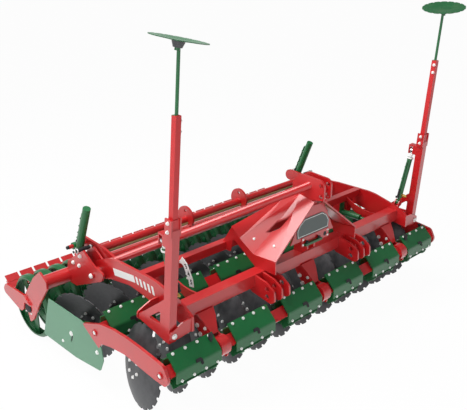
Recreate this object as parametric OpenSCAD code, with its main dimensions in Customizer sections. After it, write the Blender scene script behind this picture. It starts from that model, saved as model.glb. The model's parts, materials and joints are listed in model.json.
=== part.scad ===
// Three-point mounted compact disc harrow with ring roller and track markers.
// Millimetres, +Z up, +X to the machine's right-hand end in the drawing, +Y to the rear.
// Heights are above the ground. Y is measured from the front gang tube, and
// centred() then moves everything so that the origin is under the machine's middle.

/* [Machine] */
// Distance from the front gang tube to the middle of the machine
machine_mid = 890.7; // [850:0.1:930]
// Distance between the two gang tubes
row_spacing = 690; // [660:5:760]
// Height of the gang tubes' axes
gang_height = 436; // [425:1:460]
// Half length of the gang tubes
gang_half = 1480; // [1470:5:1600]
// Side of the square gang tubes
gang_side = 80; // [60:1:90]
// Shift of the rear clamps sideways from the front ones
rear_shift = 22; // [0:1:24]

/* [Discs] */
// Outer diameter of a soil disc
disc_dia = 560; // [520:5:565]
// Thickness of a soil disc
disc_thick = 6; // [4:0.5:8]
// Depth of a soil disc's dish
disc_dish = 62; // [45:1:70]
// Radius of the flat centre of a soil disc
disc_flat = 85; // [75:1:95]
// Number of notches in a soil disc
notches = 20; // [8:1:24]
// Radius of a notch
notch_r = 17; // [10:1:22]
// Distance between neighbouring discs of a row
disc_pitch = 250; // [240:1:270]
// Skew of a disc's axis seen from above
disc_skew = 14.6; // [8:0.1:18]
// Tilt of a disc's axis from the level
disc_tilt = 10.6; // [4:0.1:14]
// Distance of the disc centres behind their gang tube
disc_trail = 362; // [350:1:366]
// Diameter of a disc's hub
hub_dia = 110; // [90:1:130]
// Diameter of the spindle that a hub turns on
spindle_dia = 40; // [30:1:50]

/* [Clamps] */
// Width of a clamp housing
clamp_width = 365; // [300:5:380]
// Thickness of a clamp shell
shell_thick = 10; // [6:0.5:12]
// Thickness of a disc arm
arm_thick = 30; // [20:1:36]
// Width of the rubber cushions
cushion_width = 40; // [30:1:40]

/* [Frame] */
// Half width between the inner faces of the arch plates
arch_inside = 1185; // [1170:1:1200]
// Thickness of the arch plates
arch_thick = 20; // [12:1:22]
// Side of the square front beam
front_beam_side = 90; // [80:1:95]
// Front face of the front beam
front_beam_y = 145; // [140:1:150]
// Top of the front beam
front_beam_top = 720; // [700:1:722]
// Side of the square rear beam
rear_beam_side = 60; // [50:1:64]
// Front face of the rear beam
rear_beam_y = 530; // [520:1:540]
// Top of the rear beam
rear_beam_top = 815; // [800:1:816]
// Distance of the outer gang brackets from the middle
bracket_x = 1018; // [1000:1:1020]
// Width of a gang bracket's collar
collar_width = 80; // [60:1:84]
// Diameter of a gang bracket's collar
collar_dia = 130; // [122:1:140]
// Thickness of the outer arms
outer_arm_thick = 20; // [12:1:24]
// Thickness of the side deflectors
deflector_thick = 6; // [4:0.5:7]
// Depth of the side deflectors behind the outer arms' faces
deflector_inset = 1; // [0:0.5:1]

/* [Headstock] */
// Half distance between the headstock's side walls, to their inner faces
wall_x = 445; // [430:1:448]
// Thickness of the headstock's plates
wall_thick = 10; // [6:0.5:12]
// Half distance between the tower plates
tower_x = 29; // [25:0.5:32]
// Thickness of the tower plates
tower_thick = 16; // [12:1:20]
// Diameter of the top link pin holes
top_pin_dia = 32; // [25:0.5:34]
// Height of the upper top link hole
top_pin_z = 1268; // [1250:1:1275]
// Diameter of the two braces
brace_dia = 55; // [40:1:60]
// Middle plane of the innermost hitch plates
hitch_x = 395; // [385:1:400]
// Distance between neighbouring hitch plates
hitch_pitch = 75; // [70:1:80]
// Thickness of the hitch plates
hitch_thick = 16; // [12:1:20]
// Diameter of the lower link pin holes
lower_pin_dia = 37; // [28:0.5:38]

/* [Roller] */
// Outer diameter of the roller rings
ring_dia = 500; // [460:5:500]
// Width of a roller ring
ring_width = 70; // [50:1:90]
// Wall thickness of a roller ring
ring_wall = 12; // [8:1:20]
// Number of roller rings
ring_count = 24; // [16:2:24]
// Distance between neighbouring roller rings
ring_pitch = 125; // [110:1:126]
// Roller axis behind the front gang tube
roller_y = 1610; // [1605:1:1640]
// Diameter of the roller shaft
shaft_dia = 90; // [70:1:110]
// Diameter of the roller frame tube
roller_tube_dia = 110; // [90:1:120]
// Thickness of the roller side plates
side_plate_thick = 15; // [10:1:16]
// Thickness of the roller arms
roller_arm_thick = 15; // [10:1:18]
// Diameter of the roller cylinder barrels
barrel_dia = 57; // [45:1:60]
// Diameter of the roller cylinder rods
rod_dia = 30; // [20:1:34]
// Width of a scraper plate
scraper_width = 105; // [80:1:110]

/* [Markers] */
// Distance of the marker pivots from the middle
marker_x = 1340; // [1330:1:1350]
// Forward lean of the markers
marker_lean = 4.2; // [0:0.1:6]
// Inward lean of the markers
marker_tuck = 1; // [0:0.1:2]
// Width of the marker mast
mast_width = 54; // [44:1:60]
// Depth of the marker mast
mast_depth = 60; // [50:1:64]
// Side of the upper marker tube
marker_tube = 38; // [30:1:42]
// Diameter of the marker disc
marker_disc_dia = 320; // [280:5:330]
// Diameter of the marker hinge pin
hinge_pin_dia = 30; // [20:1:34]
// Diameter of the marker cylinder barrel
marker_barrel_dia = 42; // [34:1:46]
// Diameter of the marker cylinder rod
marker_rod_dia = 22; // [16:1:25]

/* [Hidden] */

$fn = 48;
fit = 0.1;
loose_fit = 5;
red = "#c4262c";
green = "#1f7a48";
pale_green = "#86ab91";
dark_green = "#17573a";
steel_dark = "#4a4a4c";
zinc = "#c9ccc8";
black = "#26282a";
grey = "#7c8482";

clamp_xs = [for (i = [-2.5:1:2.5]) i * 2 * disc_pitch];
disc_offset = 6;
axis_height = disc_dia / 2 * cos(disc_tilt) + disc_thick * sin(disc_tilt) / 2;
arch_out = arch_inside + arch_thick;

// Plan geometry helpers

function unit(v) = v / norm(v);
function perp(v) = [-v[1], v[0]];
function turn(a) = a > 180 ? a - 360 : a < -180 ? a + 360 : a;
function arc(c, r, a0, a1, n) = [for (i = [0:n]) c + r * [cos(a0 + (a1 - a0) * i / n), sin(a0 + (a1 - a0) * i / n)]];
function corner(a, b, c, r, n) =
    let (u = unit(a - b), v = unit(c - b), half = acos(u * v) / 2)
    let (o = b + unit(u + v) * r / sin(half), s = b + u * r / tan(half) - o, e = b + v * r / tan(half) - o)
    let (a0 = atan2(s[1], s[0]), a1 = atan2(e[1], e[0]))
    arc(o, r, a0, a0 + turn(a1 - a0), n);
function flat(p) = [p[0], p[1]];
// Points are [y, z] for a sharp corner or [y, z, r] for a rounded one.
function rounded(p, n = 6) =
    [for (i = [0:len(p) - 1])
        each len(p[i]) < 3 ? [flat(p[i])]
            : corner(flat(p[(i + len(p) - 1) % len(p)]), flat(p[i]), flat(p[(i + 1) % len(p)]), p[i][2], n)];
function side(p, d) =
    [for (i = [0:len(p) - 1])
        let (a = i > 0 ? unit(p[i] - p[i - 1]) : unit(p[1] - p[0]))
        let (b = i < len(p) - 1 ? unit(p[i + 1] - p[i]) : a)
        let (m = unit(perp(a) + perp(b)))
        p[i] + m * d / (m * perp(a))];
function reversed(p) = [for (i = [len(p) - 1:-1:0]) p[i]];
// A bent plate of thickness t on the left of the path p
function strip(p, t) = concat(p, reversed(side(p, t)));
function bend(a, b, c, r, n = 5) = concat([a], corner(a, b, c, r, n), [c]);

module centred() {
    translate([0, -machine_mid, 0]) children();
}

// A plate square to X, its middle at x, from points [y, z]
module plate_x(x, t, pts) {
    translate([x - t / 2, 0, 0]) rotate([90, 0, 90]) linear_extrude(t) polygon(pts);
}

// A plate square to Y, from y to y + t, from points [x, z]
module plate_y(y, t, pts) {
    translate([0, y + t, 0]) rotate([90, 0, 0]) linear_extrude(t) polygon(pts);
}

module rod_between(p, q, d) {
    v = q - p;
    translate(p) rotate([0, acos(v[2] / norm(v)), atan2(v[1], v[0])]) cylinder(h = norm(v), d = d);
}

module rod_x(x0, x1, y, z, d) {
    translate([x0, y, z]) rotate([0, 90, 0]) cylinder(h = x1 - x0, d = d);
}

module rod_y(x, y0, y1, z, d) {
    translate([x, y0, z]) rotate([-90, 0, 0]) cylinder(h = y1 - y0, d = d);
}

module box(a, b) {
    translate(a) cube(b - a);
}

module both_sides() {
    children();
    mirror([1, 0, 0]) children();
}

module diamond_tube(y, half, side) {
    translate([-half, y, gang_height]) rotate([45, 0, 0]) translate([0, -side / 2, -side / 2])
        cube([2 * half, side, side]);
}

// Frame

module front_beam() {
    color(red) centred()
        box([-arch_inside, front_beam_y, front_beam_top - front_beam_side],
            [arch_inside, front_beam_y + front_beam_side, front_beam_top]);
}

module rear_beam() {
    color(red) centred()
        box([-arch_inside, rear_beam_y, rear_beam_top - rear_beam_side],
            [arch_inside, rear_beam_y + rear_beam_side, rear_beam_top]);
}

roller_pivot = [1047, 643];
roller_pin_dia = 40;
pivot_boss = 96;
boss_gap = 2;
arm_in = 1160;
arm_out = arm_in + 2 * roller_arm_thick + 72;

arch_front = 54;
module arch_plate() {
    difference() {
        union() {
            plate_x(arch_inside + arch_thick / 2, arch_thick, rounded([
                [arch_front, 592], [arch_front, 693, 20], [147, 745, 60], [228, 768, 90], [380, 807, 200],
                [461, 815], [789, 815], [906, 806, 200], [1100, 720, 30], [1085, 590, 40],
                [900, 647, 120], [688, 678, 150], [579, 667, 120], [473, 648, 100], [235, 620, 80], [120, 600, 60]]));
            rod_x(arm_in + roller_arm_thick + boss_gap, arm_out - roller_arm_thick - boss_gap,
                roller_pivot[0], roller_pivot[1], pivot_boss);
        }
        rod_x(arm_in, arm_out, roller_pivot[0], roller_pivot[1], roller_pin_dia + 2 * fit);
    }
}

module arch_plates() {
    color(red) centred() both_sides() arch_plate();
}

// Headstock: points of the folded roof at the side walls and at the tower
roof_low = [[47, 817], [253, 808], [391, 887], [472, 955]];
roof_high = [[60, 1140], [195, 1165], [325, 1120]];

function at_wall(i) = [wall_x + wall_thick, roof_low[i][0], roof_low[i][1]];
function at_tower(i) = [tower_x + tower_thick, roof_high[i][0], roof_high[i][1]];

// A sheet between a ring of corner points, with its underside t lower
module sheet(top, t) {
    n = len(top);
    polyhedron(
        points = concat(top, [for (p = top) p - [0, 0, t]]),
        faces = concat(
            [for (i = [1:n - 2]) [0, i, i + 1]],
            [for (i = [1:n - 2]) [n, n + i + 1, n + i]],
            [for (i = [0:n - 1]) [i, n + (i + 1) % n, (i + 1) % n]],
            [for (i = [0:n - 1]) [i, n + i, n + (i + 1) % n]]));
}

module roof() {
    sheet([at_wall(0), at_tower(0), at_tower(1), at_wall(1)], wall_thick * 1.4);
    sheet([at_wall(1), at_tower(1), at_wall(2)], wall_thick * 1.4);
    sheet([at_wall(2), at_tower(1), at_tower(2), at_wall(3)], wall_thick * 1.4);
}

module head_wall() {
    drop = wall_thick;
    plate_x(wall_x + wall_thick / 2, wall_thick, concat(
        [[47, front_beam_top]], [for (p = roof_low) p - [0, drop]],
        [[560, rear_beam_top], [rear_beam_y, rear_beam_top], [rear_beam_y, rear_beam_top - rear_beam_side],
         [rear_beam_y - 45, rear_beam_top - rear_beam_side], [455, 860], [400, 830],
         [front_beam_y + front_beam_side + 25, 735], [front_beam_y + front_beam_side, front_beam_top]]));
}

module roof_cutout() {
    translate([250, 205, 900]) rotate([0, 0, 35]) linear_extrude(300)
        polygon(rounded([[-95, 0], [0, 34, 40], [95, 0], [0, -34, 40]]));
}

panel_y = 100;
module head_panel() {
    plate_y(panel_y, wall_thick, [[-110, 1090], [-240, 850], [240, 850], [110, 1090]]);
}

module headstock() {
    color(red) centred() {
        both_sides() {
            difference() {
                roof();
                roof_cutout();
            }
            head_wall();
        }
        head_panel();
    }
}

tower_rib_y = panel_y + wall_thick;
top_pin_y = 8;
module tower_plate() {
    difference() {
        plate_x(tower_x + tower_thick / 2, tower_thick, rounded([
            [-20, 1165, 20], [-20, 1305, 45], [200, 1320, 60], [270, 1235, 40], [250, 1130, 20],
            [front_beam_y + front_beam_side, 900], [front_beam_y + front_beam_side, front_beam_top],
            [front_beam_y + 10, front_beam_top], [tower_rib_y, 760], [tower_rib_y, 1145]]));
        for (z = [top_pin_z, top_pin_z - 80])
            rod_x(0, 2 * wall_x, top_pin_y, z, top_pin_dia);
    }
}

brace_top = [tower_x, 113, 1252];
brace_foot = [arch_inside, 905, 772];
module brace() {
    v = unit(brace_foot - brace_top);
    intersection() {
        rod_between(brace_top - 60 * v, brace_foot + 60 * v, brace_dia);
        box([tower_x + tower_thick, 0, 0], [arch_inside, 1400, 1400]);
    }
}

module top_link_tower() {
    color(red) centred() both_sides() {
        tower_plate();
        brace();
    }
}

lower_pin_y = 31;
lower_pin_zs = [652, 596];
module hitch_plate(x) {
    difference() {
        plate_x(x, hitch_thick, rounded([
            [front_beam_y, 715], [41, 697, 60], [-33, 650, 30], [-40, 572, 30], [0, 556, 20], [170, 584, 30],
            [front_beam_y + front_beam_side, front_beam_top - front_beam_side],
            [front_beam_y, front_beam_top - front_beam_side]]));
        for (z = lower_pin_zs)
            rod_x(x - hitch_thick, x + hitch_thick, lower_pin_y, z, lower_pin_dia);
    }
}

module hitch_plates() {
    color(red) centred() both_sides() for (i = [0:2]) hitch_plate(hitch_x + i * hitch_pitch);
}

// Rear cross tubes between the horn plates, which carry the roller cylinders' trunnions
horn_thick = 20;
horn_out = arm_in - 10;
trunnion = [1320, 775];
trunnion_dia = 30;
tube_a = [1150, 769];
tube_b = [1110, 698];
tube_a_dia = 57;
tube_b_dia = 50;

module horn() {
    plate_x(horn_out - horn_thick / 2, horn_thick, rounded([
        [925, 735], [925, 780, 10], [1060, 812, 40], [1345, 830, 50], [1360, 735, 45], [1250, 722, 60],
        [1160, 662, 25], [1070, 662, 25], [990, 728, 40]]));
    box([horn_out, 945, 735], [arch_inside, 985, 762]);
    rod_x(horn_out, arm_out + 12, trunnion[0], trunnion[1], trunnion_dia);
}

module drill_lug(x) {
    difference() {
        plate_x(x, 16, arc([tube_a[0], tube_a[1] + 20], 92, -40, 220, 20));
        rod_x(x - 10, x + 10, tube_a[0], tube_a[1], tube_a_dia);
        rod_x(x - 10, x + 10, tube_a[0], tube_a[1] + 75, 25);
    }
}

module rear_cross_tubes() {
    color(red) centred() {
        both_sides() {
            horn();
            drill_lug(300);
        }
        rod_x(-horn_out + horn_thick, horn_out - horn_thick, tube_a[0], tube_a[1], tube_a_dia);
        rod_x(-horn_out + horn_thick, horn_out - horn_thick, tube_b[0], tube_b[1], tube_b_dia);
    }
}

// Gang brackets: collars on the gang tubes and plates up to the beams
bracket_plate = 12;
bracket_foot = [55, 500];
face_half = 70;
face_foot_half = 24;
module front_bracket(x) {
    beam_low = front_beam_top - front_beam_side;
    head = [front_beam_y - 0.2, beam_low];
    slope = unit(head - bracket_foot);
    difference() {
        union() {
            rod_x(x - collar_width / 2, x + collar_width / 2, 0, gang_height, collar_dia);
            for (s = [-1, 1])
                plate_x(x + s * (collar_width / 2 - bracket_plate / 2), bracket_plate, rounded([
                    [-35, 352, 15], [-35, 475, 20], [bracket_foot[0], bracket_foot[1], 20], [head[0], head[1]],
                    [front_beam_y + front_beam_side - 5, beam_low], [215, 560, 40], [135, 460, 60], [75, 352, 15]]));
            translate([x, head[0], head[1]]) rotate([90 - atan2(slope[0], slope[1]), 0, 0])
                linear_extrude(bracket_plate) polygon(rounded([
                    [-face_half, 0], [-face_half * 0.75, -50, 30], [-face_foot_half, -norm(head - bracket_foot), 15],
                    [face_foot_half, -norm(head - bracket_foot), 15], [face_half * 0.85, -60, 30], [face_half, 0]]));
        }
        diamond_tube(0, gang_half, gang_side);
    }
}

module rear_bracket(x) {
    difference() {
        union() {
            rod_x(x - collar_width / 2, x + collar_width / 2, row_spacing, gang_height, collar_dia);
            for (s = [-1, 1])
                plate_x(x + s * (collar_width / 2 - bracket_plate / 2), bracket_plate, rounded([
                    [row_spacing - 45, 400], [row_spacing - 60, 520, 60], [540, 650, 60],
                    [rear_beam_y, rear_beam_top - rear_beam_side],
                    [rear_beam_y + rear_beam_side, rear_beam_top - rear_beam_side],
                    [rear_beam_y + rear_beam_side, rear_beam_top - 15], [row_spacing, 640, 80],
                    [row_spacing + 50, 500, 40], [row_spacing + 45, 400]]));
        }
        diamond_tube(row_spacing, gang_half, gang_side);
    }
}

rib_x = 1000;
module beam_rib() {
    y0 = front_beam_y + front_beam_side;
    plate_x(rib_x, bracket_plate, concat(
        [[y0, front_beam_top - front_beam_side + 5], [y0, front_beam_top - 4]],
        [[300, 712], [371, 719], [450, 742]],
        [[rear_beam_y, rear_beam_top - 30], [rear_beam_y, rear_beam_top - rear_beam_side],
         [450, 680], [340, 642]]));
}

module gang_brackets() {
    color(red) centred() {
        for (x = [-bracket_x, 0, bracket_x]) {
            front_bracket(x);
            rear_bracket(x + rear_shift);
        }
        both_sides() beam_rib();
    }
}

module gang_tube_front() {
    color(red) centred() diamond_tube(0, gang_half, gang_side);
}

module gang_tube_rear() {
    color(red) centred() diamond_tube(row_spacing, gang_half, gang_side);
}

// Clamp housings: two bent shells around the gang tube, [y, z] from the tube's axis
shell_top = [24, 114];
shell_bend = [-68, 22];
shell_foot = [-68, -56];

module clamp_shell(y, x) {
    translate([x - clamp_width / 2, y, gang_height]) rotate([90, 0, 90]) linear_extrude(clamp_width)
        polygon(strip(bend(shell_foot, shell_bend, shell_top, 30), -shell_thick));
}

module clamp_pair(y, x) {
    clamp_shell(y, x);
    translate([0, 2 * y, 2 * gang_height]) rotate([180, 0, 0]) clamp_shell(y, x);
}

module clamps_front() {
    color(green) centred() for (x = clamp_xs) clamp_pair(0, x);
}

module clamps_rear() {
    color(green) centred() for (x = clamp_xs) clamp_pair(row_spacing, x + rear_shift);
}

// Rubber cushions between a gang tube's faces and the shells
module cushion(y, x) {
    inner = gang_side / 2;
    outer = (shell_bend[1] - shell_bend[0]) / sqrt(2) - shell_thick;
    for (a = [135, 315])
        translate([x, y, gang_height]) rotate([a - 90, 0, 0])
            translate([-clamp_width / 2 + 5, -cushion_width / 2, inner])
                cube([clamp_width - 10, cushion_width, outer - inner]);
}

module clamp_cushions() {
    color(black) centred() for (x = clamp_xs) {
        cushion(0, x);
        cushion(row_spacing, x + rear_shift);
    }
}

// Discs. A disc's own frame has its axis along Z, the hollow side up and the rim's plane at zero.
// Height of the dish's sphere centre above the rim's plane, and the sphere's radius
sphere_z = (disc_dia * disc_dia / 4 - disc_flat * disc_flat - disc_dish * disc_dish) / (2 * disc_dish);
sphere_r = sqrt(sphere_z * sphere_z + disc_dia * disc_dia / 4);
hub_gap = 3;
hub_cap = 5;

function dish_z(r) = sphere_z - sqrt(sphere_r * sphere_r - r * r);

module disc_blank() {
    steps = 6;
    rs = [for (i = [0:steps]) disc_flat + (disc_dia / 2 - disc_flat) * i / steps];
    rotate_extrude($fn = 72) polygon(concat(
        [[0, -disc_dish]], [for (r = rs) [r, dish_z(r)]],
        [for (r = reversed(rs)) [r, dish_z(r) + disc_thick]], [[0, -disc_dish + disc_thick]]));
}

module soil_disc() {
    difference() {
        union() {
            disc_blank();
            translate([0, 0, -disc_dish + disc_thick / 2])
                cylinder(h = disc_dish - disc_thick / 2 - hub_gap, d = hub_dia);
        }
        for (i = [0:notches - 1]) rotate([0, 0, i * 360 / notches])
            translate([disc_dia / 2 + notch_r * 0.2, 0, -disc_dish]) cylinder(h = 2 * disc_dish, r = notch_r, $fn = 20);
        translate([0, 0, -disc_dish + disc_thick + hub_cap]) cylinder(h = disc_dish, d = spindle_dia + 2 * fit);
    }
}

// Places a disc's frame: s is 1 in the front row and -1 in the rear row
module at_disc(x, y, s) {
    translate([x, y, axis_height]) rotate([0, 0, s * -disc_skew]) rotate([0, s * (90 + disc_tilt), 0]) children();
}

function disc_x(i, s) =
    clamp_xs[floor((i - 1) / 2)] + ((i - 1) % 2 == 0 ? -1 : 1) * disc_pitch / 2
    + (s > 0 ? disc_offset : rear_shift - disc_offset);
function disc_y(s) = disc_trail + (s > 0 ? 0 : row_spacing);

module disc_at(i, s) {
    color(steel_dark) centred() at_disc(disc_x(i, s), disc_y(s), s) soil_disc();
}

// Disc arms: a spindle boss and an arm up to the lower clamp shell
boss_dia = 96;
boss_len = 52;
arm_in_gap = 30;

module disc_arm(i, s) {
    x = disc_x(i, s);
    y = disc_y(s);
    at_disc(x, y, s) {
        cylinder(h = boss_len, d = boss_dia);
        translate([0, 0, -disc_dish + disc_thick + hub_cap + 2]) cylinder(h = disc_dish, d = spindle_dia);
    }
    ty = y - disc_trail;
    hub = [disc_trail - 12, axis_height - 8];
    plate_x(x + s * (arm_in_gap + arm_thick / 2 - 6), arm_thick, [for (p = rounded([
        [-shell_top[0] + 6, gang_height - shell_top[1] + 6], [-shell_bend[0] - 6, gang_height - shell_bend[1] - 6],
        [110, gang_height - 58, 60], [250, gang_height - 70, 90], [hub[0] + 20, hub[1] + 60, 60],
        [hub[0] + 60, hub[1] - 10, 40], [hub[0], hub[1] - 56, 40], [hub[0] - 60, hub[1] - 10, 30],
        [230, gang_height - 160, 90], [60, gang_height - 160, 70], [-20, gang_height - 132, 12]]))
        [p[0] + ty, p[1]]]);
}

module disc_arms_front() {
    color(green) centred() for (i = [1:12]) disc_arm(i, 1);
}

module disc_arms_rear() {
    color(green) centred() for (i = [1:12]) disc_arm(i, -1);
}

// Outer arms and side deflectors
outer_in = gang_half;
outer_face = outer_in + outer_arm_thick;

outer_arm_outline = rounded([
    [-66, 433, 50], [-24, 512, 40], [50, 523, 200], [194, 540, 300], [346, 550, 300], [484, 547, 300],
    [619, 528, 300], [841, 445, 10], [656, 330, 10], [625, 379, 60], [521, 403, 150], [358, 419, 200],
    [205, 397, 200], [59, 382, 100], [-45, 376, 40]]);

module outer_arm() {
    plate_x(outer_in + outer_arm_thick / 2, outer_arm_thick, outer_arm_outline);
    for (y = [9, row_spacing])
        rod_x(outer_face, outer_face + 8, y, gang_height, 46);
}

module outer_arms() {
    color(red) centred() both_sides() outer_arm();
}

// The deflector lies in the plane of the outer arm and butts against the arm's rear edge
module side_deflector() {
    x = outer_face - deflector_inset - deflector_thick;
    difference() {
        plate_x(x + deflector_thick / 2, deflector_thick, rounded([
            [1274, 462, 10], [860, 456, 30], [700, 420], [630, 345], [615, 250, 25],
            [661, 152, 25], [960, 119, 200], [1394, 123, 12]]));
        plate_x(x + deflector_thick / 2, deflector_thick + 2, outer_arm_outline);
        translate([x, 998, 255]) rotate([22, 0, 0]) translate([-1, -9, -34]) cube([deflector_thick + 2, 18, 68]);
    }
}

module side_deflectors() {
    color(pale_green) centred() both_sides() side_deflector();
}

// Markers. The marker frame has its origin on the pivot, Y along the hinge pin and X outwards.
marker_pivot = [marker_x, 105, 617];
mast_foot = -52;
mast_top = 700;
hinge_front = -mast_depth / 2 - 5;
hinge_rear = 275;
ear_thick = 10;
cyl_y = 78;
eye_width = 26;
base_eye = [-105, 153];
rod_eye_z = 599;
knuckle_top = 808;
tube_top = 1366;
stem_top = 1768;

module in_marker() {
    translate(marker_pivot) rotate([marker_lean, 0, 0]) children();
}

module tucked() {
    rotate([0, -marker_tuck, 0]) children();
}

module marker_bracket() {
    web = arch_out - marker_x;
    in_marker() {
        for (y = [hinge_front - ear_thick, hinge_rear])
            difference() {
                plate_y(y, ear_thick, rounded([
                    [web, -20], [web, 74, 10], [web + 60, 74, 30], [32, 30, 25], [32, -32, 25], [-40, -32, 30]]));
            }
        rod_y(0, hinge_front - ear_thick, hinge_rear + ear_thick, 0, hinge_pin_dia);
        for (y = [cyl_y - eye_width / 2 - 2 - 8, cyl_y + eye_width / 2 + 2])
            plate_y(y, 8, rounded([
                [web, base_eye[1] - 45], [web, base_eye[1] - 5, 8], [base_eye[0] - 12, base_eye[1] + 22, 15],
                [base_eye[0] + 22, base_eye[1] + 22, 16], [base_eye[0] + 22, base_eye[1] - 22, 16]]));
        rod_y(base_eye[0], cyl_y - eye_width / 2 - 10, cyl_y + eye_width / 2 + 10, base_eye[1], 20);
    }
}

module marker_brackets() {
    color(red) centred() both_sides() marker_bracket();
}

module marker_mast() {
    in_marker() tucked() difference() {
        union() {
            box([-mast_width / 2, -mast_depth / 2, mast_foot], [mast_width / 2, mast_depth / 2, mast_top]);
            rod_y(0, -mast_depth / 2 - 2, hinge_rear - 3, 0, 52);
            difference() {
                plate_x(mast_width / 2 - 5, 10, [
                    [mast_depth / 2 - 2, mast_foot + 6], [hinge_rear - 6, -14], [hinge_rear - 6, 18],
                    [mast_depth / 2 - 2, 233]]);
                plate_x(mast_width / 2 - 5, 14, rounded([[60, 48, 8], [175, 40, 8], [60, 140, 8]]));
            }
            for (y = [mast_depth / 2 - 2, cyl_y + eye_width / 2 + 2])
                plate_y(y, y < cyl_y ? cyl_y - eye_width / 2 - 2 - y : 8, rounded([
                    [-24, rod_eye_z - 28, 12], [24, rod_eye_z - 28, 12], [27, rod_eye_z + 52], [-24, rod_eye_z + 52]]));
            box([-24, mast_depth / 2 - 2, rod_eye_z + 42], [27, cyl_y + eye_width / 2 + 10, rod_eye_z + 52]);
            for (s = [-1, 1])
                box([s * 33 - 5, -30, mast_top - 40], [s * 33 + 5, 30, knuckle_top - 40]);
            box([-38, -26, mast_top - 1], [38, 26, mast_top + 7]);
        }
        rod_y(0, -mast_depth, hinge_rear, 0, hinge_pin_dia + 2 * fit);
    }
}

// The marker disc: a shallow saucer over its hub, heights from the top of the stem
hub_top = -12;
hub_len = 34;
hub_play = 1;
hub_collar = 14;
marker_rim = 0;
stem_dia = 20;

module marker_arm() {
    half = marker_tube / 2;
    in_marker() tucked() {
        box([-half, -half, mast_top + 7], [half, half, tube_top]);
        box([-28, -24, mast_top + 7], [28, 24, knuckle_top - 44]);
        translate([0, 0, tube_top - 10])
            cylinder(h = stem_top - tube_top + 5 + hub_top - hub_len, d = stem_dia);
        translate([0, 0, stem_top]) rotate([0, -10, 0])
            translate([0, 0, hub_top - hub_len - hub_play - hub_collar]) {
                cylinder(h = hub_collar, d = 1.5 * stem_dia);
                cylinder(h = hub_collar + hub_play + hub_len - 2, d = stem_dia);
            }
    }
}

module marker_disc() {
    r = marker_disc_dia / 2;
    in_marker() tucked() translate([0, 0, stem_top]) rotate([0, -10, 0]) difference() {
        union() {
            rotate_extrude($fn = 72) polygon([
                [0, hub_top + 6], [60, hub_top + 6], [110, hub_top + 10], [r, marker_rim], [r, marker_rim - 4],
                [110, hub_top + 5], [58, hub_top], [0, hub_top]]);
            translate([0, 0, hub_top - hub_len]) cylinder(h = hub_len + 1, d1 = 48, d2 = 74);
        }
        for (i = [0:17]) rotate([0, 0, i * 20])
            translate([r + 2, 0, marker_rim - 20]) cylinder(h = 40, r = 10, $fn = 16);
        translate([0, 0, hub_top - hub_len - 1]) cylinder(h = hub_len + 2, d = stem_dia + 2 * fit);
    }
}

rest_vector = [-rod_eye_z * sin(marker_tuck), rod_eye_z * cos(marker_tuck)] - base_eye;
cyl_angle = atan2(rest_vector[1], rest_vector[0]);
cyl_length = norm(rest_vector);
rod_end_gap = 60.8;
marker_barrel_len = cyl_length - rod_end_gap;
neck_len = 40;

module in_marker_cylinder() {
    in_marker() translate([base_eye[0], cyl_y, base_eye[1]]) rotate([0, -cyl_angle, 0]) children();
}

module marker_barrel() {
    in_marker_cylinder() difference() {
        union() {
            rod_y(0, -eye_width / 2, eye_width / 2, 0, 40);
            rod_x(10, neck_len + 5, 0, 0, eye_width - 2);
            rod_x(neck_len, marker_barrel_len, 0, 0, marker_barrel_dia);
            rod_x(marker_barrel_len - 20, marker_barrel_len, 0, 0, marker_barrel_dia + 4);
        }
        rod_y(0, -eye_width, eye_width, 0, 20 + 2 * fit);
        rod_x(neck_len + 20, marker_barrel_len + 1, 0, 0, marker_rod_dia + 2 * fit);
    }
}

module marker_rod() {
    in_marker_cylinder() difference() {
        union() {
            rod_x(neck_len + 24, cyl_length - 15, 0, 0, marker_rod_dia);
            rod_y(cyl_length, -eye_width / 2, eye_width / 2, 0, 40);
        }
        rod_y(cyl_length, -eye_width, eye_width, 0, 20);
    }
}

// Scale, sign and small cylinder

module depth_scale() {
    pts = [[388, 658], [397, 715], [426, 764], [454, 814], [502, 847]];
    color(grey) centred() {
        plate_x(-892, 5, strip(pts, -45));
        box([-894, rear_beam_y - 40, rear_beam_top - 20], [-889, rear_beam_y, rear_beam_top]);
    }
}

module sign_plate() {
    color(grey) centred() plate_y(panel_y - 4, 4, [
        [-100, 1017], [100, 1017], [150, 985], [180, 940], [172, 880], [-172, 880], [-180, 940], [-150, 985]]);
}

module levelling_cylinder() {
    color(green) centred() {
        rod_y(950, 350, rear_beam_y + 5, 660, 50);
        rod_y(950, front_beam_y + front_beam_side, 352, 660, 22);
        box([935, rear_beam_y, 640], [965, rear_beam_y + 30, rear_beam_top - rear_beam_side]);
    }
}

// Roller and its frame
roller_half = (ring_count - 1) / 2 * ring_pitch;
side_in = gang_half - 2;
roller_z = ring_dia / 2;
stub_dia = 50;

module ring() {
    w = ring_width / 2;
    r = ring_dia / 2;
    rotate([0, 90, 0]) {
        rotate_extrude($fn = 64) polygon([
            [r - 18, -w], [r, -w * 0.45], [r, w * 0.45], [r - 18, w], [r - 18 - ring_wall, w],
            [r - ring_wall, w * 0.3], [r - ring_wall, -w * 0.3], [r - 18 - ring_wall, -w]]);
        for (i = [0:4]) rotate([0, 0, i * 72])
            translate([shaft_dia / 2 - 5, -30, -4]) cube([r - shaft_dia / 2 - ring_wall + 8, 60, 8]);
    }
}

module roller() {
    color(dark_green) centred() translate([0, roller_y, roller_z]) {
        rod_x(-roller_half - 20, roller_half + 20, 0, 0, shaft_dia);
        rod_x(-side_in + 3, side_in - 3, 0, 0, stub_dia);
        for (i = [0:ring_count - 1]) translate([-roller_half + i * ring_pitch, 0, 0]) ring();
    }
}

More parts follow.
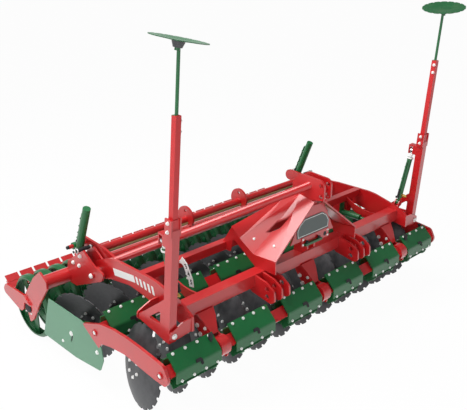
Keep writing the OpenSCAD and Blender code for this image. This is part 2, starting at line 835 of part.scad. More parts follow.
sunk = 2;
scraper_arm = 16;
roller_tube = [1395, 525];
roller_eye = [1331.6, 625];
module roller_side() {
    plate_x(side_in + side_plate_thick / 2, side_plate_thick, rounded([
        [1384, 630, 15], [1485, 549, 30], [1667, 323, 60], [1601, 133, 12], [1548, 173, 30], [1442, 335, 100],
        [1293, 524, 20], [1296, 578, 20]]));
    rod_x(side_in - 3 + 0.3, side_in + 5, roller_y, roller_z, 90);
    plate_x(side_in + side_plate_thick - sunk + scraper_arm / 2, scraper_arm, rounded([
        [1560, 290], [1640, 350, 40], [1930, 345, 35], [1984, 270, 35], [1684, 181, 60], [1640, 290]]));
}

module roller_arm() {
    for (x = [arm_in + roller_arm_thick / 2, arm_out - roller_arm_thick / 2])
        plate_x(x, roller_arm_thick, rounded([
            [907, 693, 20], [1025, 721, 60], [1152, 802, 12], [1372, 650, 30], [1400, 480, 20], [1278, 478, 30],
            [938, 633, 40]]));
}

module roller_frame() {
    color(red) centred() {
        both_sides() {
            roller_side();
            roller_arm();
            rod_x(arm_in - 8, arm_out + 12, roller_pivot[0], roller_pivot[1], roller_pin_dia);
            rod_x(arm_in + 2, arm_out - 2, roller_eye[0], roller_eye[1], 24);
        }
        rod_x(-side_in, side_in, roller_tube[0], roller_tube[1], roller_tube_dia);
    }
}

scraper_beam = [1925, 300];
module scraper(x) {
    plate_x(x, scraper_width, [[scraper_beam[0] - 58, 318], [scraper_beam[0] - 52, 312],
        [scraper_beam[0] + 40, 388], [scraper_beam[0] + 34, 394]]);
}

module scrapers() {
    color(red) centred() {
        end = side_in + side_plate_thick - sunk;
        box([-end, scraper_beam[0] - 15, scraper_beam[1] - 25], [end, scraper_beam[0] + 15, 357]);
        for (i = [0:ring_count - 1]) scraper(-roller_half + i * ring_pitch);
    }
}

// Roller cylinders. The barrel stands beside its trunnion sleeve.
roller_cyl_x = arm_in + roller_arm_thick + 36;
roller_cyl_dir = [0.375, -0.927];
roller_cyl_mouth = [1275, 765];
roller_barrel_len = 373;
sleeve_dia = 52;

// The cylinder's frame has Z along the barrel towards its closed end
module at_roller_cylinder() {
    translate([roller_cyl_x, roller_cyl_mouth[0], roller_cyl_mouth[1]])
        rotate([atan2(roller_cyl_dir[0], -roller_cyl_dir[1]), 0, 0]) children();
}

module roller_barrels() {
    color(green) centred() both_sides() difference() {
        union() {
            at_roller_cylinder() cylinder(h = roller_barrel_len, d = barrel_dia);
            rod_x(roller_cyl_x - barrel_dia / 2, roller_cyl_x + barrel_dia / 2, trunnion[0], trunnion[1], sleeve_dia);
        }
        rod_x(arm_in, arm_out, trunnion[0], trunnion[1], trunnion_dia + 2 * fit);
        at_roller_cylinder() translate([0, 0, -5]) cylinder(h = roller_barrel_len - 20, d = rod_dia + 2 * fit);
    }
}

module roller_rods() {
    eye_drop = norm(roller_eye - roller_cyl_mouth);
    color(zinc) centred() both_sides() difference() {
        union() {
            at_roller_cylinder() translate([0, 0, -eye_drop]) cylinder(h = eye_drop + 265, d = rod_dia);
            rod_x(roller_cyl_x - 20, roller_cyl_x + 20, roller_eye[0], roller_eye[1], 60);
        }
        rod_x(roller_cyl_x - 30, roller_cyl_x + 30, roller_eye[0], roller_eye[1], 24 + 2 * loose_fit);
    }
}

module right_side() {
    centred() children();
}

module left_side() {
    centred() mirror([1, 0, 0]) children();
}

front_beam();
rear_beam();
arch_plates();
headstock();
top_link_tower();
hitch_plates();
rear_cross_tubes();
gang_brackets();
gang_tube_front();
gang_tube_rear();
clamps_front();
clamps_rear();
clamp_cushions();
disc_arms_front();
disc_arms_rear();
outer_arms();
side_deflectors();
marker_brackets();
depth_scale();
sign_plate();
levelling_cylinder();
color(red) left_side() marker_mast();  // marker_mast_left
color(red) right_side() marker_mast();  // marker_mast_right
color(red) left_side() marker_arm();  // marker_arm_left
color(red) right_side() marker_arm();  // marker_arm_right
color(dark_green) left_side() marker_disc();  // marker_disc_left
color(dark_green) right_side() marker_disc();  // marker_disc_right
color(green) left_side() marker_barrel();  // marker_barrel_left
color(green) right_side() marker_barrel();  // marker_barrel_right
color(zinc) left_side() marker_rod();  // marker_rod_left
color(zinc) right_side() marker_rod();  // marker_rod_right
roller_frame();
roller();
scrapers();
roller_barrels();
roller_rods();
for (i = [1:12]) {
    disc_at(i, 1);
    disc_at(i, -1);
}
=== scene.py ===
import json
import math

import bpy
from mathutils import Matrix, Vector


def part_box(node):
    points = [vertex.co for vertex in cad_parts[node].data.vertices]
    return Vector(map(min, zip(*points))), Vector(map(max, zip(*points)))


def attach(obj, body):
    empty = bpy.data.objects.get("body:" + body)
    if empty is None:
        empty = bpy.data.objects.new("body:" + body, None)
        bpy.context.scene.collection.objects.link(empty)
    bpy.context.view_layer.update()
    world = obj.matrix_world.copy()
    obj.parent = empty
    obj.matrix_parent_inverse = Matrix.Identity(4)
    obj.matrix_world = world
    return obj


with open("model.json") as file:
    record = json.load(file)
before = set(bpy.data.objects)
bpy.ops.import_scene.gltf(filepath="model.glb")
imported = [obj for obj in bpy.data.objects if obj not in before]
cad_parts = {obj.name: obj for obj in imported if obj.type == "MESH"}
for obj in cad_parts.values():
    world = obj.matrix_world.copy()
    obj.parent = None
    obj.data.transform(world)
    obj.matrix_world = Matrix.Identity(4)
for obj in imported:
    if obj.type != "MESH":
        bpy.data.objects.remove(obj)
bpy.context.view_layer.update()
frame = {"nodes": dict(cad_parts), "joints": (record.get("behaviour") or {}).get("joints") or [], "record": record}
print("frame loaded:", len(frame["nodes"]), "nodes")

mm = 0.001
mainFrame = "main_frame"
jointNamed = {j["name"]: j for j in frame["joints"]}


def middle(node):
    low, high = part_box(node)
    return (low + high) / 2


gangAxis = middle("gang_tube_front")


def at(x, y, z):  # millimetres: x from the middle, y behind the front gang tube, z above the ground
    return Vector((x * mm, y * mm + gangAxis.y, z * mm))


# Camera, light and floor

stand = {"place": (-3.5918, -3.6314, 2.8210), "turn": (69.2, 0.0, -44.5), "sensor": 36.0, "lens": 52.78,
         "reach": 200}
light = {
    "horizon": 1.0, "zenith": 0.16, "fade": 0.40,
    "key": 430.0, "keyPlace": (-1.9, 1.3, 6.0), "keySize": 5.4,
    "fill": 90.0, "fillPlace": (-6.0, -3.4, 3.0), "fillSize": 4.0,
    "aim": (0, 0, 0.6),
}
ground = {"half": 45.0, "tone": (0.90, 0.90, 0.90), "glow": 0.97}


class Sig:  # a shader socket that can be added to, multiplied and so on
    def __init__(self, graph, socket):
        self.graph, self.socket = graph, socket

    def mix(self, kind, other, swap=False):
        pair = [other, self] if swap else [self, other]
        return self.graph.add("ShaderNodeMath", {"operation": kind}, pair)

    def __add__(self, other):
        return self.mix("ADD", other)

    def __radd__(self, other):
        return self.mix("ADD", other, True)

    def __sub__(self, other):
        return self.mix("SUBTRACT", other)

    def __rsub__(self, other):
        return self.mix("SUBTRACT", other, True)

    def __mul__(self, other):
        return self.mix("MULTIPLY", other)

    def __rmul__(self, other):
        return self.mix("MULTIPLY", other, True)

    def __gt__(self, other):
        return self.mix("GREATER_THAN", other)

    def __lt__(self, other):
        return self.mix("LESS_THAN", other)


rays = ("Is Camera Ray", "Is Glossy Ray", "Is Transmission Ray")


class Finish:  # the node tree of a material or of the world
    def __init__(self, name, owner=None):
        self.material = owner or bpy.data.materials.new(name)
        self.material.use_nodes = True
        self.tree = self.material.node_tree
        self.tree.nodes.clear()

    def add(self, kind, settings=None, inputs=None, out=0):
        node = self.tree.nodes.new(kind)
        for key, value in (settings or {}).items():
            if key == "stops":
                ramp = node.color_ramp.elements
                for i, (place, tone) in enumerate(value):
                    stop = ramp[i] if i < 2 else ramp.new(place)
                    stop.position, stop.color = place, (tone, tone, tone, 1.0)
            else:
                setattr(node, key, value)
        named = enumerate(inputs) if isinstance(inputs, list) else (inputs or {}).items()
        for key, value in named:
            if isinstance(value, Sig):
                self.tree.links.new(value.socket, node.inputs[key])
            else:
                node.inputs[key].default_value = value
        return Sig(self, node.outputs[out]) if node.outputs else None

    def blend(self, first, second, share):
        tones = [t if isinstance(t, Sig) else (*t, 1.0) for t in (first, second)]
        sockets = {0: share, 6: tones[0], 7: tones[1]}  # by number, because their names repeat
        return self.add("ShaderNodeMix", {"data_type": "RGBA"}, sockets, 2)

    def where(self, kind="Object"):  # the object's own place; in the world Generated gives a direction
        return self.add("ShaderNodeTexCoord", out=kind)

    def noise(self, place, scale, detail, rough=0.5):
        return self.add("ShaderNodeTexNoise", {}, {"Vector": place, "Scale": scale, "Detail": detail,
                                                   "Roughness": rough})

    def ramp(self, value, low, high):
        return self.add("ShaderNodeMapRange", {}, {"Value": value, "From Min": low, "From Max": high})

    def split(self, vector, part):
        return self.add("ShaderNodeSeparateXYZ", {}, [vector], part)

    def surface(self, inputs, bump=None, strength=0.0, distance=0.0):
        if bump is not None:
            inputs["Normal"] = self.add("ShaderNodeBump", {}, {"Strength": strength, "Distance": distance,
                                                               "Height": bump})
        shader = self.add("ShaderNodeBsdfPrincipled", {}, inputs)
        self.add("ShaderNodeOutputMaterial", {}, [shader])
        return self.material


srgb = {"knee": 0.04045, "slope": 12.92, "offset": 0.055, "power": 2.4}


def toned(text):  # a colour as six hexadecimal digits, made linear
    parts = [int(text[i:i + 2], 16) / 255 for i in (0, 2, 4)]
    return tuple(c / srgb["slope"] if c <= srgb["knee"]
                 else ((c + srgb["offset"]) / (1 + srgb["offset"])) ** srgb["power"] for c in parts)


paints = {
    "red_paint": {"tone": "cf1b1f", "deep": "b8161a", "rough": 0.34, "coat": 1.0},
    "green_paint": {"tone": "136c38", "deep": "0e5e30", "rough": 0.38, "coat": 0.30},
    "pale_green_paint": {"tone": "679b7c", "deep": "5d9173", "rough": 0.45, "coat": 0.25},
    "dark_green_paint": {"tone": "146a38", "deep": "0e522b", "rough": 0.42, "coat": 0.25},
}
paintLook = {
    "drift": (2.6, 3.0), "driftEnds": (0.3, 0.7), "toneSpan": 0.7, "toneLeast": 0.3,
    "speck": (240.0, 1.0), "speckEnds": (0.45, 0.7), "peel": (380.0, 2.0), "peelBump": (0.10, 0.0003),
    "dust": (9.0, 5.0, 0.65), "dustEnds": (0.5, 0.85), "dustUp": (0.6, 1.0), "dustMost": 0.10, "dustTone": "b9a88f",
    "roughDrift": 0.05, "roughSpeck": 0.04, "roughDust": 0.8, "coatRough": 0.18, "specular": 0.5,
}


def paintFinish(name, tone, deep, rough, coat, splitAt=None, lower=None):  # lower is the tone below splitAt
    look = paintLook
    f = Finish(name)
    place = f.where()
    drift = f.ramp(f.noise(place, *look["drift"]), *look["driftEnds"])
    speck = f.ramp(f.noise(place, *look["speck"]), *look["speckEnds"])
    colour = f.blend(toned(deep), toned(tone), drift * look["toneSpan"] + look["toneLeast"])
    if splitAt is not None:
        colour = f.blend(toned(lower), colour, f.split(place, "Z") > splitAt)
    up = f.ramp(f.split(f.add("ShaderNodeNewGeometry", out="Normal"), "Z"), *look["dustUp"])
    dust = f.ramp(f.noise(place, *look["dust"]), *look["dustEnds"]) * up * look["dustMost"]
    colour = f.blend(colour, toned(look["dustTone"]), dust)
    worn = rough + drift * look["roughDrift"] + speck * look["roughSpeck"] + dust * look["roughDust"]
    return f.surface({"Base Color": colour, "Roughness": worn, "Coat Weight": coat,
                      "Coat Roughness": look["coatRough"], "Specular IOR Level": look["specular"]},
                     f.noise(place, *look["peel"]), *look["peelBump"])


zincLook = {"cells": 160.0, "cellEnds": (0.0, 0.6), "metallic": 0.25, "roughCells": 0.1, "grain": (500.0, 1.0),
            "bump": (0.08, 0.0002)}


def zincFinish(name, tone, deep, rough):
    look = zincLook
    f = Finish(name)
    place = f.where()
    spangle = f.add("ShaderNodeTexVoronoi", {}, {"Vector": place, "Scale": look["cells"]})
    colour = f.blend(toned(deep), toned(tone), f.ramp(spangle, *look["cellEnds"]))
    return f.surface({"Base Color": colour, "Metallic": look["metallic"],
                      "Roughness": rough + spangle * look["roughCells"]},
                     f.noise(place, *look["grain"]), *look["bump"])


plateLook = {"drift": (7.0, 3.0), "roughDrift": 0.08, "grain": (420.0, 1.0), "bump": (0.06, 0.0002)}
plainLooks = {
    "disc_steel": {"name": "discSteel", "tone": "5c5d5f", "deep": "454649", "metallic": 0.35, "rough": 0.40,
                   "roughDrift": 0.12, "drift": (14.0, 5.0, 0.6), "ends": (0.35, 0.7), "grain": (260.0, 2.0),
                   "bump": (0.15, 0.0003)},
    "rod_chrome": {"name": "rodChrome", "tone": "e6e9ea", "deep": "c4c8ca", "metallic": 0.9, "rough": 0.14,
                   "roughDrift": 0.08, "drift": (60.0, 3.0)},
    "black_rubber": {"name": "blackRubber", "tone": "2a2c2e", "deep": "17181a", "rough": 0.62, "roughGrain": 0.12,
                     "drift": (18.0, 2.0), "grain": (320.0, 3.0), "bump": (0.25, 0.0003)},
    "scale_paint": {"name": "scale paint", "tone": "fbfcfb", "deep": "f2f4f2", "rough": 0.40, **plateLook},
    "sign_grey": {"name": "sign grey", "tone": "5f6a68", "deep": "566160", "rough": 0.42, **plateLook},
    "white_film": {"name": "white film", "tone": "f6f6f4", "deep": "ebebe9", "rough": 0.40, **plateLook},
}


def plainFinish(name, tone, deep, rough, drift, metallic=0.0, ends=None, roughDrift=0.0, roughGrain=0.0,
                grain=None, bump=()):
    f = Finish(name)
    place = f.where()
    shade = f.noise(place, *drift)
    if ends:
        shade = f.ramp(shade, *ends)
    fine = f.noise(place, *grain) if grain else None
    worn = rough + (fine * roughGrain if roughGrain else shade * roughDrift)
    return f.surface({"Base Color": f.blend(toned(deep), toned(tone), shade), "Metallic": metallic,
                      "Roughness": worn}, fine, *bump)


finishes = {slot: paintFinish(slot.replace("_", " "), **how) for slot, how in paints.items()}
finishes.update({slot: plainFinish(**how) for slot, how in plainLooks.items()})
zinc = zincFinish("zinc bolts", "fdfdfb", "eceeeb", 0.34)
pipeZinc = zincFinish("pipe zinc", "a39a6c", "7d7550", 0.38)
brass = zincFinish("brass", "c9a04a", "a67f30", 0.32)
print("finishes made")

for row in frame["record"]["subparts"]:
    node = frame["nodes"][row["node"]]
    node.data.materials.clear()
    node.data.materials.append(finishes[row["material_slot"]])


# Shapes: closed solids gathered into one mesh for each piece

smoothAngle = math.radians(40.0)


def linked(name, data):  # a new object in the scene
    made = bpy.data.objects.new(name, data)
    bpy.context.scene.collection.objects.link(made)
    return made


class Shape:
    def __init__(self):
        self.verts, self.faces = [], []

    def take(self, verts, faces, place=None):
        place = place or Matrix()
        turned = place.to_3x3().determinant() < 0
        first = len(self.verts)
        self.verts += [place @ Vector(v) for v in verts]
        self.faces += [[first + i for i in (reversed(f) if turned else f)] for f in faces]
        return self

    def solid(self, name):
        mesh = bpy.data.meshes.new(name)
        mesh.from_pydata([tuple(v) for v in self.verts], [], self.faces)
        mesh.validate()
        mesh.update()
        return linked(name, mesh)

    def piece(self, name, body, finish):
        made = self.solid(name)
        made.data.materials.append(finish)
        made.data.shade_smooth()
        made.data.set_sharp_from_angle(angle=smoothAngle)
        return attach(made, body)


def lathe(profile, count):  # a profile of (radius, height), from the bottom's middle to the top's
    verts, faces, rings = [], [], []
    for r, z in profile:
        if rings and r > 0 and (r, z) == profile[0]:  # a ring's profile ends where it starts
            rings.append(rings[0])
        elif r == 0:
            rings.append([len(verts)])
            verts.append((0, 0, z))
        else:
            rings.append(list(range(len(verts), len(verts) + count)))
            verts += [(r * math.cos(math.tau * i / count), r * math.sin(math.tau * i / count), z)
                      for i in range(count)]
    for a, b in zip(rings, rings[1:]):
        for i in range(count):
            j = (i + 1) % count
            if len(a) == 1:
                faces.append([a[0], b[j], b[i]])
            elif len(b) == 1:
                faces.append([a[i], a[j], b[0]])
            else:
                faces.append([a[i], a[j], b[j], b[i]])
    return verts, faces


def prism(outline, height):  # a flat outline, anticlockwise, raised along z
    n = len(outline)
    verts = [(x, y, 0) for x, y in outline] + [(x, y, height) for x, y in outline]
    faces = [list(range(n - 1, -1, -1)), list(range(n, 2 * n))]
    faces += [[i, (i + 1) % n, n + (i + 1) % n, n + i] for i in range(n)]
    return verts, faces


def tube(points, radius, count=12):  # a round bar along points
    verts, faces = [], []
    side = None
    for k, p in enumerate(points):
        ahead = (points[min(k + 1, len(points) - 1)] - points[max(k - 1, 0)]).normalized()
        if side is None:
            side = ahead.orthogonal().normalized()
        side = (side - ahead * side.dot(ahead)).normalized()
        over = ahead.cross(side)
        verts += [p + radius * (side * math.cos(math.tau * i / count) + over * math.sin(math.tau * i / count))
                  for i in range(count)]
    for k in range(len(points) - 1):
        for i in range(count):
            j = (i + 1) % count
            faces.append([k * count + i, k * count + j, (k + 1) * count + j, (k + 1) * count + i])
    last = (len(points) - 1) * count
    faces += [list(range(count - 1, -1, -1)), list(range(last, last + count))]
    return verts, faces


def rounded(points, radius, steps=4):  # a bent pipe's line with its corners rounded
    line = [points[0]]
    for a, b, c in zip(points, points[1:], points[2:]):
        reach = min(radius, (a - b).length / 2, (c - b).length / 2)
        p, q = b + (a - b).normalized() * reach, b + (c - b).normalized() * reach
        line += [p * (1 - t) ** 2 + b * 2 * t * (1 - t) + q * t * t for t in [i / steps for i in range(steps + 1)]]
    return line + [points[-1]]


def facing(place, normal, spin=0.0):  # stands a shape's z along normal at place, its sizes in millimetres
    turn = Vector((0, 0, 1)).rotation_difference(Vector(normal).normalized()).to_matrix().to_4x4()
    return Matrix.Translation(place) @ turn @ Matrix.Rotation(spin, 4, "Z") @ Matrix.Scale(mm, 4)


def bar(shape, place, radius, long, count, bevel=0):  # a straight bar, its far edge bevelled
    end = [(radius, long - bevel), (radius - bevel, long)] if bevel else [(radius, long)]
    shape.take(*lathe([(0, 0), (radius, 0), *end, (0, long)], count), place)


# Bolts: a washer and a chamfered hexagon, and the screw's end on a nut

boltSizes = {
    "M8": {"flats": 13, "head": 5.5, "washer": 8.5, "thick": 1.6, "end": 3.5},
    "M10": {"flats": 16, "head": 6.4, "washer": 10, "thick": 2, "end": 5},
    "M12": {"flats": 18, "head": 7.5, "washer": 12, "thick": 2.4, "end": 5.5},
    "M16": {"flats": 24, "head": 9.5, "washer": 15.5, "thick": 3, "end": 7.5},
    "M20": {"flats": 30, "head": 8, "washer": 19, "thick": 3, "end": 9.5},
}
boltForm = {"washerSides": 20, "endSides": 12, "edge": 0.3, "corner": 0.13, "slope": 0.6, "past": 4, "tip": 1}


def bolt(shape, place, normal, size="M16", nut=False, spin=0.3, low=1.0):  # low presses it flatter
    s, form = boltSizes[size], boltForm
    corner, rim, top = s["flats"] / math.sqrt(3), s["washer"], s["thick"]
    where = facing(place, normal, spin) @ Matrix.Diagonal((1, 1, low, 1))
    edge = top * form["edge"]
    shape.take(*lathe([(0, 0), (rim, 0), (rim, top - edge), (rim - edge, top), (0, top)], form["washerSides"]),
               where)
    high, chamfer = top + s["head"], corner * form["corner"]
    shape.take(*lathe([(0, top), (corner, top), (corner, high - chamfer * form["slope"]), (corner - chamfer, high),
                       (0, high)], count=6), where)
    if nut:
        end, far = s["end"], high + form["past"]
        shape.take(*lathe([(0, high), (end, high), (end, far - form["tip"]), (end - form["tip"], far), (0, far)],
                          form["endSides"]), where)


# Clamp housings: four bolts along each edge of both shells, and a thin black hooked sheet in the fold, a painted
# shadow of the slot's dark hollow there

clamp = {"pitch": 500, "count": 6, "row": 690, "shift": 22, "upper": [-145.5, -48.5, 48.5, 145.5],
         "under": [-130, -45, 45, 130], "edge": (12.7, 102.7), "foot": (-68, -46), "fold": (-65.4, 20.9),
         "size": "M10", "slant": 22.5, "shadowThick": 3,
         "hook": [(-26, 0), (2, 0), (8, -6), (8, -24), (26, -24), (26, 8), (12, 22), (-26, 22)]}
gangHeight = gangAxis.z / mm


def clampXs(shift):
    return [(i - (clamp["count"] - 1) / 2) * clamp["pitch"] + shift for i in range(clamp["count"])]


def clampBolts(name, y, shift):
    shape, slotShadows = Shape(), Shape()
    for x in clampXs(shift):
        for turn, offsets in ((1, clamp["upper"]), (-1, clamp["under"])):
            for dx in offsets:
                for (py, pz), (ny, nz) in ((clamp["edge"], (-1, 1)), (clamp["foot"], (-1, 0))):
                    bolt(shape, at(x + dx, y + turn * py, gangHeight + turn * pz), (0, turn * ny, turn * nz),
                         clamp["size"], nut=turn < 0)
        # a thin black hooked sheet on the fold: painted shadow standing in for the slot's dark hollow
        py, pz = clamp["fold"]
        slant = math.radians(clamp["slant"])
        right, out = Vector((1, 0, 0)), Vector((0, -math.cos(slant), math.sin(slant)))
        place = Matrix((right, out.cross(right), out)).transposed().to_4x4()
        slotShadows.take(*prism(clamp["hook"], clamp["shadowThick"]), Matrix.Translation(at(x, y + py, gangHeight + pz)) @ place
                   @ Matrix.Scale(mm, 4))
    shape.piece(name + "_bolts", mainFrame, zinc)
    slotShadows.piece(name + "_slot_shadows", mainFrame, finishes["black_rubber"])


clampBolts("clamp_front", 0, 0)
clampBolts("clamp_rear", clamp["row"], clamp["shift"])
print("clamp bolts made")

# Discs: six screws on the outside, with nuts on the hub side

hub = {"discs": 12, "circle": 66, "count": 6, "outside": 62, "plate": 6, "size": "M12"}


def discScrews(row, number):
    joint = jointNamed[f"disc_{row}_{number}_spin"]
    centre, hollow = Vector(joint["pos_m"]), Vector(joint["axis"]).normalized()
    frameAt = Matrix.Translation(centre) @ Vector((0, 0, 1)).rotation_difference(hollow).to_matrix().to_4x4()
    shape = Shape()
    for i in range(hub["count"]):
        angle = math.tau * (i + 0.5) / hub["count"]
        spot = Vector((math.cos(angle), math.sin(angle), 0)) * hub["circle"] * mm
        outside = Vector((0, 0, hub["outside"] * mm))
        inside = Vector((0, 0, (hub["outside"] - hub["plate"]) * mm))
        bolt(shape, frameAt @ (spot - outside), -hollow, hub["size"], spin=angle)
        bolt(shape, frameAt @ (spot - inside), hollow, hub["size"], nut=True)
    shape.piece(f"disc_{row}_{number}_screws", f"disc_{row}_{number}", zinc)


for row in ("front", "rear"):
    for number in range(1, hub["discs"] + 1):
        discScrews(row, number)
print("disc screws made")

# Outer arms and deflectors: a bolt on each boss, and three on each deflector

sides = {"left": -1, "right": 1}
outerArm = {"boss": 1508, "deflector": 1499, "low": 0.7, "pocket": 7.4, "pocketRadius": 19, "pocketPast": 4,
            "pocketLow": 0.58, "spots": [9, clamp["row"]]}
deflectorBolts = [((997, 296), "M20"), ((1119, 185), "M12"), ((680, 289), "M16")]


def armBolts():
    shape = Shape()
    for sign in sides.values():
        for y in outerArm["spots"]:
            bolt(shape, at(sign * (outerArm["boss"] - outerArm["pocket"]), y, gangHeight), (sign, 0, 0), "M16",
                 low=outerArm["pocketLow"])
        for (y, z), size in deflectorBolts:
            bolt(shape, at(sign * outerArm["deflector"], y, z), (sign, 0, 0), size, low=outerArm["low"])
    shape.piece("outer_arm_bolts", mainFrame, zinc)


def bossPockets():  # the boss bolts sit in a round pocket, so that no head stands outside the part's box
    shape = Shape()
    r, deep = outerArm["pocketRadius"], outerArm["pocket"]
    for sign in sides.values():
        for y in outerArm["spots"]:
            bar(shape, facing(at(sign * (outerArm["boss"] - deep), y, gangHeight), (sign, 0, 0)), r,
                deep + outerArm["pocketPast"], count=32)
    cutter = shape.solid("boss_pockets")
    cutter.hide_render = cutter.hide_viewport = True
    cut = frame["nodes"]["outer_arms"].modifiers.new("pockets", "BOOLEAN")
    cut.operation, cut.solver, cut.object = "DIFFERENCE", "EXACT", cutter


bossPockets()
armBolts()

# Roller frame: pivot nuts, and bearing covers with their bolts

rollerSide = {"pivot": (1047, 643), "pivotX": 1274, "trunnion": (1320, 775), "trunnionX": 1273,
              "bearing": (1610, 250), "face": 1493, "cover": (34, 44),
              "coverForm": [(0, 0), (1, 0), (1, 5), (0.92, 7), (0, 7)], "coverBolts": 4, "circle": 52}


def rollerFittings():
    nuts, covers = Shape(), Shape()
    for sign in sides.values():
        bolt(nuts, at(sign * rollerSide["pivotX"], *rollerSide["pivot"]), (sign, 0, 0), "M20", nut=True)
        y, z = rollerSide["bearing"]
        wide, high = rollerSide["cover"]
        place = facing(at(sign * rollerSide["face"], y, z), (sign, 0, 0))
        oval = Matrix.Diagonal((wide, high, 1, 1))
        covers.take(*lathe(rollerSide["coverForm"], count=32), place @ oval)
        r = rollerSide["circle"]
        for a in range(rollerSide["coverBolts"]):
            angle = math.tau * (a + 0.5) / rollerSide["coverBolts"]
            bolt(nuts, at(sign * rollerSide["face"], y + r * math.cos(angle), z + r * math.sin(angle)), (sign, 0, 0),
                 "M8")
    nuts.piece("roller_frame_bolts", "roller_arms", zinc)
    covers.piece("roller_bearing_covers", "roller_arms", finishes["black_rubber"])


rollerFittings()

# Markers: arms red below and green above, with pivot bolts, knuckle bolts and a hub under each disc

marker = {"pivot": (1340, 105, 617), "stem": 1366, "lean": 4.2, "tuck": 1.0, "pinFront": -45, "cheek": 38,
          "knuckle": [690, 745], "tubeHalf": 19, "tubeBolts": [1273, 1333], "boltFront": -6, "top": 1768, "tilt": -10,
          "cone": [(14, -46.4), (24.8, -46.4), (37.8, -12.2), (14, -12.2), (14, -46.4)]}
stemStart = marker["stem"] * mm * math.cos(math.radians(marker["lean"])) + marker["pivot"][2] * mm
stemPaint = paintFinish("marker arm paint", lower=paints["red_paint"]["tone"], splitAt=stemStart,
                        **paints["green_paint"])
for side in sides:
    frame["nodes"]["marker_arm_" + side].data.materials[0] = stemPaint


def markerFrame(sign, tucked=True):
    place = Matrix.Translation(at(*marker["pivot"])) @ Matrix.Rotation(math.radians(marker["lean"]), 4, "X")
    if tucked:
        place = place @ Matrix.Rotation(math.radians(-marker["tuck"]), 4, "Y")
    return Matrix.Diagonal((sign, 1, 1, 1)) @ place


def inMarker(place, x, y, z):
    return place @ Vector((x * mm, y * mm, z * mm))


def markerFittings(side, sign):
    place, fixed = markerFrame(sign), markerFrame(sign, False)
    turn, turnFixed = place.to_3x3(), fixed.to_3x3()
    pin, bolts = Shape(), Shape()
    bolt(pin, inMarker(fixed, 0, marker["pinFront"], 0), turnFixed @ Vector((0, -1, 0)), "M20")
    for s in (-1, 1):
        for z in marker["knuckle"]:
            bolt(bolts, inMarker(place, s * marker["cheek"], 0, z), turn @ Vector((s, 0, 0)), "M12", nut=s > 0)
    for z in marker["tubeBolts"]:
        bolt(bolts, inMarker(place, -marker["tubeHalf"], marker["boltFront"], z), turn @ Vector((-1, 0, 0)), "M12")
    hubAt = place @ Matrix.Translation((0, 0, marker["top"] * mm)) @ Matrix.Rotation(
        math.radians(marker["tilt"]), 4, "Y") @ Matrix.Scale(mm, 4)
    cone = Shape().take(*lathe(marker["cone"], count=32), hubAt)
    cone.piece(f"marker_hub_{side}", f"marker_disc_{side}", finishes["disc_steel"])
    pin.piece(f"marker_pin_{side}", mainFrame, zinc)
    bolts.piece(f"marker_bolts_{side}", f"marker_{side}", zinc)


for side, sign in sides.items():
    markerFittings(side, sign)
print("marker fittings made")

# Frame bolts: on the headstock they lie where the line from the photo's camera through a traced point meets it, on
# the brackets where a sideways line does

eye = Vector(stand["place"])
nearBolts = {
    "headstock": [((-384, 125, 887), "M10"), ((-453, 250, 925), "M10")],
    "gang_brackets": [((-1058, 169, 531), "M16"), ((-1058, 140, 478), "M16"), ((-1058, 95, 537), "M12")],
}
bracketRow = {"shifts": (-1018, 0, 1018), "reach": 200}


def touch(node, start, way):  # where a line first meets a piece
    body = frame["nodes"][node]
    back = body.matrix_world.inverted()
    found, spot, normal, _ = body.ray_cast(back @ start, (back.to_3x3() @ way).normalized())
    if not found:
        print("no surface of", node, "from", tuple(start))
        return start, -way
    return body.matrix_world @ spot, (body.matrix_world.to_3x3() @ normal).normalized()


def tracedBolts():
    shape = Shape()
    for point, size in nearBolts["headstock"]:
        spot, normal = touch("headstock", eye, at(*point) - eye)
        bolt(shape, spot, normal, size)
        bolt(shape, Vector((-spot.x, spot.y, spot.z)), Vector((-normal.x, normal.y, normal.z)), size)
    for (x, y, z), size in nearBolts["gang_brackets"]:
        for shift in bracketRow["shifts"]:
            for way in (1, -1):
                start = at(shift - way * bracketRow["reach"], y, z)
                spot, normal = touch("gang_brackets", start, Vector((way, 0, 0)))
                bolt(shape, spot, normal, size, nut=way < 0)
    shape.piece("frame_bolts", mainFrame, zinc)


tracedBolts()

# Rear pipe, valve and plate under the sign, a small upright cylinder beside each outer front bracket, a pin on
# each outer arm and the ends of the roller cylinders' pins

rearPipe = {"line": [(-1118, 1180, 800), (-1118, 1128, 772), (-1075, 1123, 746), (1075, 1123, 746),
                     (1118, 1128, 772), (1118, 1180, 800)], "bend": 40, "radius": 9}
valve = {"plate": (-126, 807, 180, 876), "front": 100, "thick": 5, "gap": 0.3, "body": (-104, 812, 82, 829),
         "deep": 26, "knob": (11, 16), "knobInset": 26, "knobBack": 10, "boltInset": 14, "spot": (136, 838),
         "disc": (17, 0.8)}
armPin = {"place": (1454, 73, 444), "form": [(0, 0), (9, 0), (9, 78), (15, 80), (15, 92), (0, 92)]}
upright = {"foot": (1109, -8, 470), "head": (1105, -8, 566), "barrel": 15, "rod": 8, "drop": 55, "bevel": 2}
pinEnd = {"radius": 13, "long": 18, "bevel": 2}


def boxShape(shape, low, high):
    (x0, y0, z0), (x1, y1, z1) = low, high
    outline = [(x0, y0), (x1, y0), (x1, y1), (x0, y1)]
    shape.take(*prism(outline, z1 - z0), Matrix.Translation(at(0, 0, z0)) @ Matrix.Scale(mm, 4))


